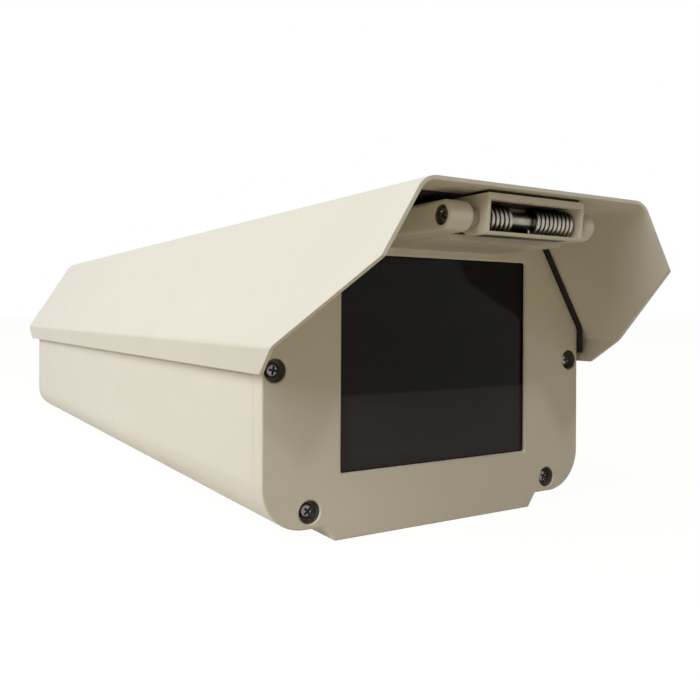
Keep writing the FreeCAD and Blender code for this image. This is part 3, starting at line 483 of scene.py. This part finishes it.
def steel(name, light, dark, roughness, brush=(1, 1, 1), grain=0.0006):
    """Bare or plated steel with drawn or turned marks and faint stains."""
    m = Material(name)
    stain = m.span(m.noise(0.004, 5.0, 0.65), 0.0, 1.0)
    marks = m.noise(grain, 4.0, 0.6, brush)
    m.feed("Base Color", m.blend(stain, light, dark))
    m.feed("Roughness", m.span(marks, roughness - 0.06, roughness + 0.1))
    m.feed("Normal", m.bump(marks, 0.00002, 0.35))
    m.set(Metallic=1.0)
    return m.data


def spring_steel(name):
    """Drawn steel wire, painted near black on the upper side of the coils as painted shadow."""
    m = Material(name)
    # Painted shadow: the coils' upper side, under the box's brow, is blended to near black
    shaded_top = m.span(m.parts(m.place)["Z"], 0.0, 0.92,
                   HINGE_AXIS.z - SPRING_RADIUS * 0.25, HINGE_AXIS.z + SPRING_RADIUS * 0.75)
    stain = m.span(m.noise(0.003, 5.0, 0.65), 0.0, 1.0)
    wire = m.blend(stain, (0.50, 0.46, 0.39), (0.33, 0.30, 0.25))
    m.feed("Base Color", m.blend(shaded_top, wire, (0.030, 0.027, 0.023)))
    marks = m.noise(0.0006, 4.0, 0.6, (1, 4, 4))
    m.feed("Roughness", m.span(marks, 0.24, 0.40))
    m.feed("Normal", m.bump(marks, 0.00002, 0.35))
    m.set(Metallic=1.0)
    return m.data


def dark_glass(name):
    """Tinted pane with a few wiped streaks, painted lighter on its lower part as painted light."""
    m = Material(name)
    # Painted light: the pane's base colour is lighter below these heights, where the top light falls
    lit_lower_part = m.span(m.parts(m.place)["Z"], 1.0, 0.0, *LIT_PANE_HEIGHTS)
    streaks = m.span(m.noise(0.012, 5.0, 0.6, (0.25, 1, 1)), 0.0, 1.0, 0.35, 0.75)
    shaded_pane = m.blend(streaks, (0.0125, 0.0125, 0.013), (0.0165, 0.0165, 0.0165))
    lit_pane = m.blend(streaks, (0.043, 0.043, 0.043), (0.050, 0.049, 0.048))
    m.feed("Base Color", m.blend(lit_lower_part, shaded_pane, lit_pane))
    m.feed("Roughness", m.span(m.noise(0.01, 4.0), 0.05, 0.10))
    m.set(Specular_IOR_Level=0.10, IOR=1.45)
    return m.data


def moulded(name, light, dark, roughness=0.5):
    """Moulded plastic with a fine spark-eroded grain."""
    m = Material(name)
    m.feed("Base Color", m.blend(m.span(m.noise(0.006, 4.0), 0.0, 1.0), light, dark))
    m.feed("Roughness", m.span(m.noise(0.002), roughness - 0.06, roughness + 0.08))
    m.feed("Normal", m.bump(m.noise(0.0004, 2.0), 0.00003, 0.5))
    return m.data


def screw_seats(name, axis, radius, spare):
    """The hollows round a node's screws, which reach past the screws' ends by the spare."""
    seats = []
    for low, high in solids_of(name):
        seats.append(((low + high) / 2, axis, radius, (high[axis] - low[axis]) / 2 + spare))
    return seats


def make_materials():
    """Materials by slot, and those of single pieces by a name of their own."""
    # Painted shade inside the hinge box, round the springs
    box_shade = (BOX_SHADE_CENTRE, 0, BOX_SHADE_RADIUS, BOX_SHADE_REACH)
    # Painted shade in the seats of the plates' screws and of the pin's screws in the arms
    front_seats = screw_seats("front_plate_screws", 1, *PLATE_SEAT_SHADE)
    for name in ("pin_screw_left", "pin_screw_right"):
        front_seats += screw_seats(name, 0, *PIN_SEAT_SHADE)
    rear_seats = screw_seats("rear_plate_screws", 1, *PLATE_SEAT_SHADE)
    cast = (CAST_CREAM, CAST_DARKER, 0.42, 0.0014)
    drawn, milled = (1, 4, 4), (6, 0.3, 6)
    return {
        "cream_coating": painted("cream powder coat", CREAM, CREAM_DARKER, 0.46, 0.0011),
        "cream_casting": painted("cream coat on castings", *cast),
        "shaded_box_casting": painted("shade_painted hinge box", *cast, 0.0003, [box_shade], BOX_SHADE),
        "front_casting": painted("front plate", *cast, 0.0005, front_seats),
        "rear_casting": painted("rear plate", *cast, 0.0005, rear_seats),
        # Painted shade: a near-black material on the faces of the screws' cross recesses
        "grime": moulded("grime in screw recesses",
                         (0.030, 0.027, 0.023), (0.016, 0.015, 0.013), 0.7),
        "dark_glass": dark_glass("tinted glass"),
        "black_rubber": rubber("black rubber"),
        "screw_steel": steel("screw steel",
                             (0.27, 0.25, 0.24), (0.15, 0.14, 0.13), 0.34),
        "bright_steel": steel("bright steel",
                              (0.40, 0.37, 0.32), (0.24, 0.22, 0.185), 0.28, drawn),
        "spring_steel": spring_steel("spring steel"),
        "zinc_steel": steel("zinc plated steel",
                            (0.60, 0.60, 0.58), (0.46, 0.46, 0.45), 0.38),
        "tray_aluminium": steel("tray aluminium",
                                (0.70, 0.70, 0.69), (0.60, 0.60, 0.59), 0.40, milled),
        "grey_plastic": moulded("grey plastic", (0.20, 0.21, 0.21), (0.16, 0.165, 0.17)),
        # Painted shade: the nylon spacers' colour is made much darker than cream nylon, so that they read as
        # shaded
        "cream_plastic": moulded("cream nylon", (0.46, 0.42, 0.335), (0.40, 0.365, 0.285)),
    }


# Stage

def add_floor():
    """White floor that looks white to the camera and keeps a soft shadow."""
    bm = bmesh.new()
    bmesh.ops.create_grid(bm, x_segments=1, y_segments=1, size=40.0)
    floor = mesh_object("floor", bm)
    floor.location.z = -0.0005
    m = Material("floor")
    fibre = m.span(m.noise(0.4, 3.0), 0.0, 1.0)
    m.feed("Base Color", m.blend(fibre, *FLOOR_COLOURS))
    m.set(Roughness=0.9, Specular_IOR_Level=0.0)
    glow = m.add("ShaderNodeEmission")
    glow.inputs["Strength"].default_value = FLOOR_GLOW
    mix = m.add("ShaderNodeMixShader")
    m.links.new(seen_directly(m.data.node_tree, FLOOR_GLOW_SHARE), mix.inputs["Fac"])
    m.links.new(m.shader.outputs["BSDF"], mix.inputs[1])
    m.links.new(glow.outputs["Emission"], mix.inputs[2])
    m.links.new(mix.outputs["Shader"], m.nodes["Material Output"].inputs["Surface"])
    floor.data.materials.append(m.data)


def seen_directly(tree, share):
    """The share, for rays from the camera, from gloss and through glass, and 0 for light."""
    path = tree.nodes.new("ShaderNodeLightPath")
    seen = path.outputs["Is Camera Ray"]
    for ray in ("Is Glossy Ray", "Is Transmission Ray"):
        most = tree.nodes.new("ShaderNodeMath")
        most.operation = "MAXIMUM"
        tree.links.new(seen, most.inputs[0])
        tree.links.new(path.outputs[ray], most.inputs[1])
        seen = most.outputs["Value"]
    scaled = tree.nodes.new("ShaderNodeMath")
    scaled.operation = "MULTIPLY"
    scaled.inputs[1].default_value = share
    tree.links.new(seen, scaled.inputs[0])
    return scaled.outputs["Value"]


def add_world():
    """White background to look at, with a dimmer, warmer light from all round."""
    world = bpy.data.worlds.new("studio")
    bpy.context.scene.world = world
    world.use_nodes = True
    tree = world.node_tree
    light = tree.nodes["Background"]
    light.inputs["Color"].default_value = WORLD_COLOUR + (1.0,)
    light.inputs["Strength"].default_value = WORLD_STRENGTH
    white = tree.nodes.new("ShaderNodeBackground")
    white.inputs["Color"].default_value = (1.0, 1.0, 1.0, 1.0)
    mix = tree.nodes.new("ShaderNodeMixShader")
    tree.links.new(seen_directly(tree, 1.0), mix.inputs["Fac"])
    tree.links.new(light.outputs["Background"], mix.inputs[1])
    tree.links.new(white.outputs["Background"], mix.inputs[2])
    tree.links.new(mix.outputs["Shader"], tree.nodes["World Output"].inputs["Surface"])


def add_light(name, kind, place, target, colour, **values):
    """Light at a place, turned to its target."""
    light = bpy.data.lights.new(name, kind)
    light.color = colour
    for key, value in values.items():
        setattr(light, key, value)
    obj = bpy.data.objects.new(name, light)
    obj.location = place
    obj.rotation_euler = (Vector(place) - Vector(target)).to_track_quat("Z", "Y").to_euler()
    bpy.context.scene.collection.objects.link(obj)


def add_lights():
    add_light("top sun", "SUN", TOP_DIRECTION, (0, 0, 0), (1.0, 1.0, 1.0),
              energy=TOP_STRENGTH, angle=math.radians(TOP_ANGLE))
    add_light("side softbox", "AREA", SIDE_PLACE, (0, 0, 0.06), SIDE_COLOUR,
              energy=SIDE_POWER, size=SIDE_SIZE)


def add_camera():
    camera = bpy.data.cameras.new("camera")
    camera.lens = CAMERA_LENS
    camera.sensor_width = CAMERA_SENSOR
    camera.shift_x, camera.shift_y = CAMERA_SHIFT
    camera.clip_start = 0.01
    obj = bpy.data.objects.new("camera", camera)
    obj.location = CAMERA_PLACE
    obj.rotation_euler = (math.radians(90.0), math.radians(-CAMERA_ROLL), math.radians(CAMERA_YAW))
    bpy.context.scene.collection.objects.link(obj)
    bpy.context.scene.camera = obj


# What the frame says

def solids_of(name):
    """Lowest and highest corners of each separate solid in a CAD node."""
    bm = bmesh.new()
    bm.from_mesh(NODES[name].data)
    bmesh.ops.remove_doubles(bm, verts=bm.verts, dist=1e-6)
    left, found = set(bm.verts), []
    while left:
        queue, island = [left.pop()], []
        while queue:
            vert = queue.pop()
            island.append(vert.co.copy())
            for edge in vert.link_edges:
                other = edge.other_vert(vert)
                if other in left:
                    left.remove(other)
                    queue.append(other)
        low = Vector([min(co[i] for co in island) for i in range(3)])
        high = Vector([max(co[i] for co in island) for i in range(3)])
        found.append((low, high))
    bm.free()
    return sorted(found, key=lambda box: (round(box[0].z, 4), round(box[0].x, 4)))


def body_of(name):
    """The body that a CAD node belongs to."""
    for body, nodes in frame["record"]["behaviour"]["bodies"].items():
        if name in nodes:
            return body


def slot_of(name):
    """The material slot of a CAD node."""
    for part in frame["record"]["subparts"]:
        if part["node"] == name:
            return part["material_slot"]


def put_in_place(name, bm, materials, angle=35.0, twist=None, material=None):
    """Make the finished mesh the piece that stands for a CAD node.

    The twist is a spring's two end places; with one, the piece is baked where it stands rather than attached to a
    body, and the places themselves are not used."""
    piece = mesh_object(name + "_detail", bm, angle)
    slot = slot_of(name)
    piece.data.materials.append(materials[material or slot])
    # The screws' cross recesses take the second material, painted near black as painted shade
    if slot == "screw_steel":
        piece.data.materials.append(materials["grime"])
    if twist:
        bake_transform(piece)
    else:
        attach(piece, body_of(name))
    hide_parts(name)


# Pieces

def cross_head_screws(name, outward, head_height, core, materials):
    """Pan-head screws for a node's plain ones; outward is the way that their heads face."""
    bm = bmesh.new()
    axis = [abs(c) for c in outward].index(1.0)
    up = Vector(outward)
    for index, (low, high) in enumerate(solids_of(name)):
        length = high[axis] - low[axis] - head_height
        radius = (high - low)[(axis + 1) % 3] / 2
        seat = (low + high) / 2
        seat[axis] = (high[axis] if up[axis] > 0 else low[axis]) - up[axis] * head_height
        spin = Matrix.Rotation(0.7 + 1.9 * index, 4, "Z")
        place = Matrix.Translation(seat) @ aim(outward) @ spin
        stamp(bm, pan_head(radius, head_height), place)
        shank = radius * core
        thread(bm, shank, shank * THREAD_DEPTH, shank * THREAD_PITCH, -0.0001, -length, place)
    put_in_place(name, bm, materials)


def spring(side, turns, materials):
    """Round-wire torsion spring: one leg bears on the box's rear wall, the other end on the pin."""
    name = "spring_" + side
    low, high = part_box(name)
    sign = 1 if side == "right" else -1
    axis = HINGE_AXIS
    outer, inner = (high[0], low[0]) if sign > 0 else (low[0], high[0])
    start, end = outer - sign * SPRING_WIRE, inner + sign * SPRING_WIRE
    points = [Vector((start, high[1], axis.z + SPRING_RADIUS))]
    steps = int(turns * 40)
    for k in range(steps + 1):
        angle = math.tau * turns * k / steps
        points.append(Vector((start + (end - start) * k / steps,
                              axis.y - SPRING_RADIUS * math.sin(angle),
                              axis.z + SPRING_RADIUS * math.cos(angle))))
    last = points[-1]
    inward = 0.6
    points.append(Vector((last.x, axis.y + (last.y - axis.y) * inward,
                          axis.z + (last.z - axis.z) * inward)))
    bm = bmesh.new()
    tube(bm, points, SPRING_WIRE)
    ends = [(x, axis.y, axis.z) for x in (end, start)]
    put_in_place(name, bm, materials, 60.0, ends, "spring_steel")


def hinge_box(materials):
    """Cast box round the springs: open in front, with a thick brow and thin floor and cheeks."""
    low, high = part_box("hinge_box")
    axis = HINGE_AXIS
    rear, rib = axis.y + BOX_REAR, high.z - BOX_RIB
    outline = [(low.y, high.z), (low.y + 0.0011, low.z + 0.0010), (low.y + 0.0018, low.z)]
    outline += arc(rear - BOX_OUTER_BEND, axis.z, BOX_OUTER_BEND, -90, 0)
    outline += [(rear, rib), (high.y, rib), (high.y, high.z)]
    body = prism_across("box", outline, low.x, high.x)

    floor, ceiling, wall = low.z + BOX_FLOOR, axis.z + BOX_CEILING, rear - BOX_WALL
    outside, lip = low.y - 0.002, floor + BOX_LIP
    hollow = [(outside, ceiling), (outside, lip), (low.y + 0.0022, lip), (low.y + 0.0030, floor)]
    hollow += arc(wall - BOX_INNER_BEND, floor + BOX_INNER_BEND, BOX_INNER_BEND, -90, 0)
    hollow.append((wall, ceiling))
    cavity = prism_across("hollow", hollow, low.x + BOX_CHEEK, high.x - BOX_CHEEK)

    bore = bmesh.new()
    reach = 0.03
    lathe(bore, [(0.0, -reach), (BOX_BORE, -reach), (BOX_BORE, reach), (0.0, reach)],
          Matrix.Translation(axis) @ aim((1, 0, 0)), 32)
    bm = bmesh.new()
    bm.from_mesh(carved(body, [cavity, mesh_object("bore", bore)], BOX_ROUND))
    # The box's inside is painted near black round the springs, as painted shade
    put_in_place("hinge_box", bm, materials, 50.0, material="shaded_box_casting")


def hinge_pad_and_shade(materials):
    """Thin rubber sheet under the lid, beside the hinge box and back to the front plate's seal; its size and
    darkness also stand in for the shade there, as painted shade.
    """
    gasket_low, gasket_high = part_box("hinge_box_gasket")
    front = gasket_low.y + PAD_SETBACK
    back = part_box("front_arch_seal")[0].y - PAD_SEAL_GAP
    right = gasket_high.x + PAD_PAST_BOX
    top, thick = gasket_high.z, gasket_high.z - gasket_low.z - 0.0001
    outline = []
    for x, y, start in ((right, back, 0), (PAD_LEFT, back, 90),
                        (PAD_LEFT, front, 180), (right, front, 270)):
        centre_x = x - math.copysign(PAD_CORNER, x)
        centre_y = y - PAD_CORNER if y == back else y + PAD_CORNER
        for k in range(7):
            angle = math.radians(start + 15 * k)
            outline.append((centre_x + PAD_CORNER * math.cos(angle),
                            centre_y + PAD_CORNER * math.sin(angle)))
    middle = (front + back) / 2
    bm = bmesh.new()
    rings = []
    for shrink, z in ((0.0, top), (0.0, top - thick * 0.7),
                      (0.0004, top - thick), (0.0040, top - thick * 0.85)):
        rings.append([bm.verts.new((x - math.copysign(shrink, x),
                                    y - math.copysign(shrink, y - middle), z))
                      for x, y in outline])
    loft(bm, rings)
    pad = mesh_object("hinge_pad_and_shade", bm)
    pad.data.materials.append(materials["black_rubber"])
    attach(pad, "lid")


def countersunk_screws(name, materials):
    """Flat-headed screws in the lid, their tops level with it."""
    bm = bmesh.new()
    sink = COUNTERSINK
    for index, (low, high) in enumerate(solids_of(name)):
        radius = (high.x - low.x) / 2
        place = Matrix.Translation(((low.x + high.x) / 2, (low.y + high.y) / 2, high.z))
        head = bmesh.new()
        profile = [(0.0, -sink), (radius * 0.55, -sink), (radius * 0.97, -0.00015),
                   (radius, -0.00005), (radius * 0.99, 0.0), (0.0, 0.0)]
        lathe(head, profile, Matrix.Identity(4), 40)
        mesh = recessed(mesh_object("head", head), 0.0, radius * 0.5, sink * 0.8)
        stamp(bm, mesh, place @ Matrix.Rotation(0.5 + index, 4, "Z"))
        thread(bm, radius * 0.55, 0.0002, 0.0007, -sink * 0.8, low.z - high.z, place)
    put_in_place(name, bm, materials)


def gland_dome(bm, place, length, corner):
    """Dome nut of a cable gland: a hexagonal grip, a ribbed nose and a round mouth."""
    across = corner * math.sqrt(3.0)
    grip, shoulder = length / 2, length * 0.72
    nose, mouth, wall = across / 2 * 0.99, DOME_MOUTH, DOME_WALL
    outside = [(corner * 0.93, 0.0), (corner, 0.0008), (corner, grip - 0.0008),
               (corner * 0.93, grip), (nose, grip + 0.0001), (nose, shoulder)]
    for degrees in (20, 40, 60, 78):
        angle = math.radians(degrees)
        outside.append((mouth + (nose - mouth) * math.cos(angle),
                        shoulder + length * 0.28 * math.sin(angle)))
    inside = [(mouth + 0.0004, length), (mouth, length - 0.0005), (mouth, length - wall),
              (nose - wall, length - wall), (nose - wall, 0.0)]
    flats = hexagonal(across)
    rings = []
    for radius, height in outside + inside:
        ribbed = grip < height < length * 0.8 and radius > mouth * 1.3
        ring = []
        for k in range(DOME_STEPS):
            angle = math.tau * k / DOME_STEPS
            reach = min(radius, flats(angle)) - (DOME_RIB if ribbed and k % 4 < 2 else 0.0)
            ring.append(bm.verts.new(place @ polar(reach, angle, height)))
        rings.append(ring)
    for low, high in zip(rings, rings[1:] + rings[:1]):
        bridge(bm, low, high)


def gland_body_profile(flange, length, corner):
    """A gland body's outer thread, hexagonal flange, inner neck and bore."""
    thread_radius, neck, rim = GLAND_THREAD, GLAND_THREAD * 0.98, corner * 0.95
    top = flange + GLAND_FLANGE
    profile = [(GLAND_BORE, 0.0), (thread_radius * 0.95, 0.0), (thread_radius, 0.0004)]
    height = 0.0008
    while height + GLAND_PITCH < flange:
        profile += [(thread_radius, height),
                    (thread_radius - 0.0006, height + GLAND_PITCH / 2)]
        height += GLAND_PITCH
    return profile + [
        (thread_radius, flange), (rim, flange), (corner, flange + GLAND_CHAMFER),
        (corner, top - GLAND_CHAMFER), (rim, top), (neck, top),
        (neck, length), (GLAND_BORE, length), (GLAND_BORE, 0.0)]


def turned_ring(profile, place, steps, limit=None):
    """Closed ring turned from a profile that ends where it starts."""
    bm = bmesh.new()
    lathe(bm, profile, place, steps, limit)
    bmesh.ops.remove_doubles(bm, verts=bm.verts, dist=1e-7)
    return bm


def gland(number, materials):
    """Detailed cable gland: dome nut, body and rubber insert."""
    dome, body, seal = ("gland_%s_%d" % (kind, number) for kind in ("dome_nut", "body", "seal"))
    dome_low, dome_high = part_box(dome)
    body_low, body_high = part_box(body)
    seal_low, seal_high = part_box(seal)
    centre = (dome_low + dome_high) / 2
    corner = (dome_high.x - dome_low.x) / 2

    def facing_back(y):
        return Matrix.Translation((centre.x, y, centre.z)) @ aim((0, 1, 0))

    bm = bmesh.new()
    gland_dome(bm, facing_back(dome_low.y), dome_high.y - dome_low.y, corner)
    put_in_place(dome, bm, materials)

    flange = dome_low.y - GLAND_FLANGE - body_low.y
    profile = gland_body_profile(flange, body_high.y - body_low.y, corner)
    flats = hexagonal(corner * math.sqrt(3.0))
    bm = turned_ring(profile, facing_back(body_low.y), 96, flats)
    put_in_place(body, bm, materials)

    depth, radius, cable = seal_high.y - seal_low.y, (seal_high.x - seal_low.x) / 2, CABLE_RADIUS
    profile = [(cable, 0.0), (radius * 0.9, 0.0), (radius, depth * 0.15), (radius, depth * 0.7),
               (radius * 0.8, depth), (cable + 0.0008, depth), (cable, depth - 0.0008),
               (cable, 0.0)]
    put_in_place(seal, turned_ring(profile, facing_back(seal_low.y), 64), materials)


def paint_nodes(materials):
    """Every CAD node takes the material of its slot; the two plates' materials carry painted shade in their screw
    seats.
    """
    for name, obj in NODES.items():
        obj.data.materials.clear()
        obj.data.materials.append(materials[slot_of(name)])
    NODES["front_plate"].data.materials[0] = materials["front_casting"]
    NODES["rear_plate"].data.materials[0] = materials["rear_casting"]


def add_pieces(materials):
    """The pieces that stand for plain CAD nodes, and the rubber sheet, which also stands in as painted shade under
    the lid.
    """
    for name, (outward, head_height, core) in PAN_SCREWS.items():
        cross_head_screws(name, outward, head_height, core, materials)
    countersunk_screws("hinge_box_screws", materials)
    hinge_box(materials)
    hinge_pad_and_shade(materials)
    for side, turns in SPRING_TURNS.items():
        spring(side, turns, materials)
    for number in (1, 2, 3):
        gland(number, materials)


def main():
    materials = make_materials()
    add_camera()
    add_world()
    add_lights()
    add_floor()
    paint_nodes(materials)
    add_pieces(materials)


main()
bpy.context.scene.view_settings.view_transform = "Standard"
